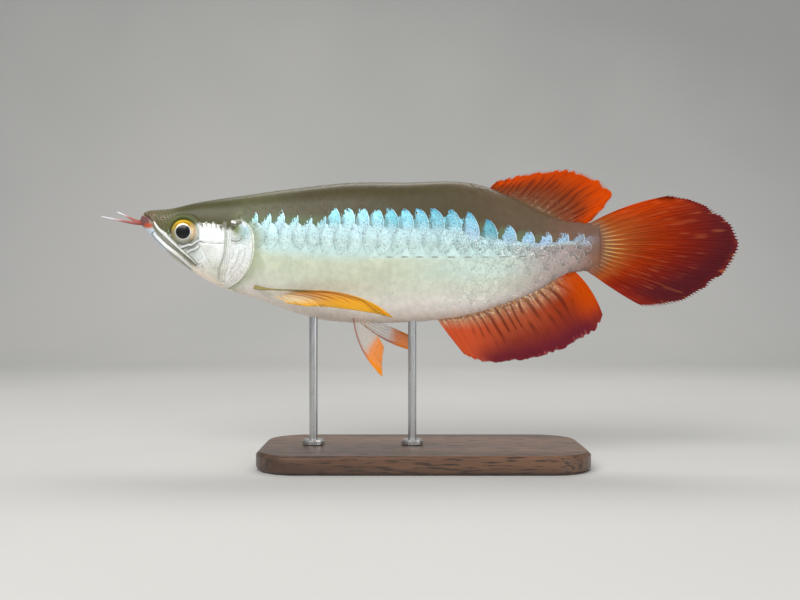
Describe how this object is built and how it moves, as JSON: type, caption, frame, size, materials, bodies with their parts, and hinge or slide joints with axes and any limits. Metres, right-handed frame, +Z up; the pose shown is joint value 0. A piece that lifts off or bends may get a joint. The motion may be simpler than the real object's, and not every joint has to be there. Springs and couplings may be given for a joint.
{
  "type": "asian arowana",
  "caption": "Life-size still model of a young red arowana with large scales, chin feelers and spread fins, held level above a flat base by short rods.",
  "frame": {"origin": "middle of the underside of the whole model's box, which is the middle of the base's underside, on the surface it stands on", "axes": "+X towards the tail fin along the body, +Y towards the fish's right flank, +Z up towards its back"},
  "size_m": [0.244, 0.058, 0.1131],
  "materials": {
    "skin": "wet-looking scales, olive back, blue-silver flank, cream belly",
    "plate": "pearly white bone plates under thin skin",
    "eye": "glossy black pupil in a white and yellow ring",
    "red_fin": "deep orange red web between fine rays",
    "pale_fin": "clear to orange web between fine rays",
    "feeler": "pink red feelers paling to the tips",
    "stand_wood": "dark satin wood",
    "stand_metal": "satin steel"
  },
  "bodies": {
    "root": {"head": "skin", "torso_front": "skin", "torso_rear": "skin", "tail_stem": "skin", "jaw": "plate", "maxilla_left": "plate", "maxilla_right": "plate", "gill_cover_left": "plate", "gill_cover_right": "plate", "eye_left": "eye", "eye_right": "eye", "dorsal_fin": "red_fin", "anal_fin": "red_fin", "tail_fin": "red_fin", "pectoral_fin_left": "pale_fin", "pectoral_fin_right": "pale_fin", "pelvic_fin_left": "pale_fin", "pelvic_fin_right": "pale_fin", "barbel_left": "feeler", "barbel_right": "feeler", "stand_base": "stand_wood", "stand_rod_front": "stand_metal", "stand_rod_rear": "stand_metal"}
  },
  "joints": []
}
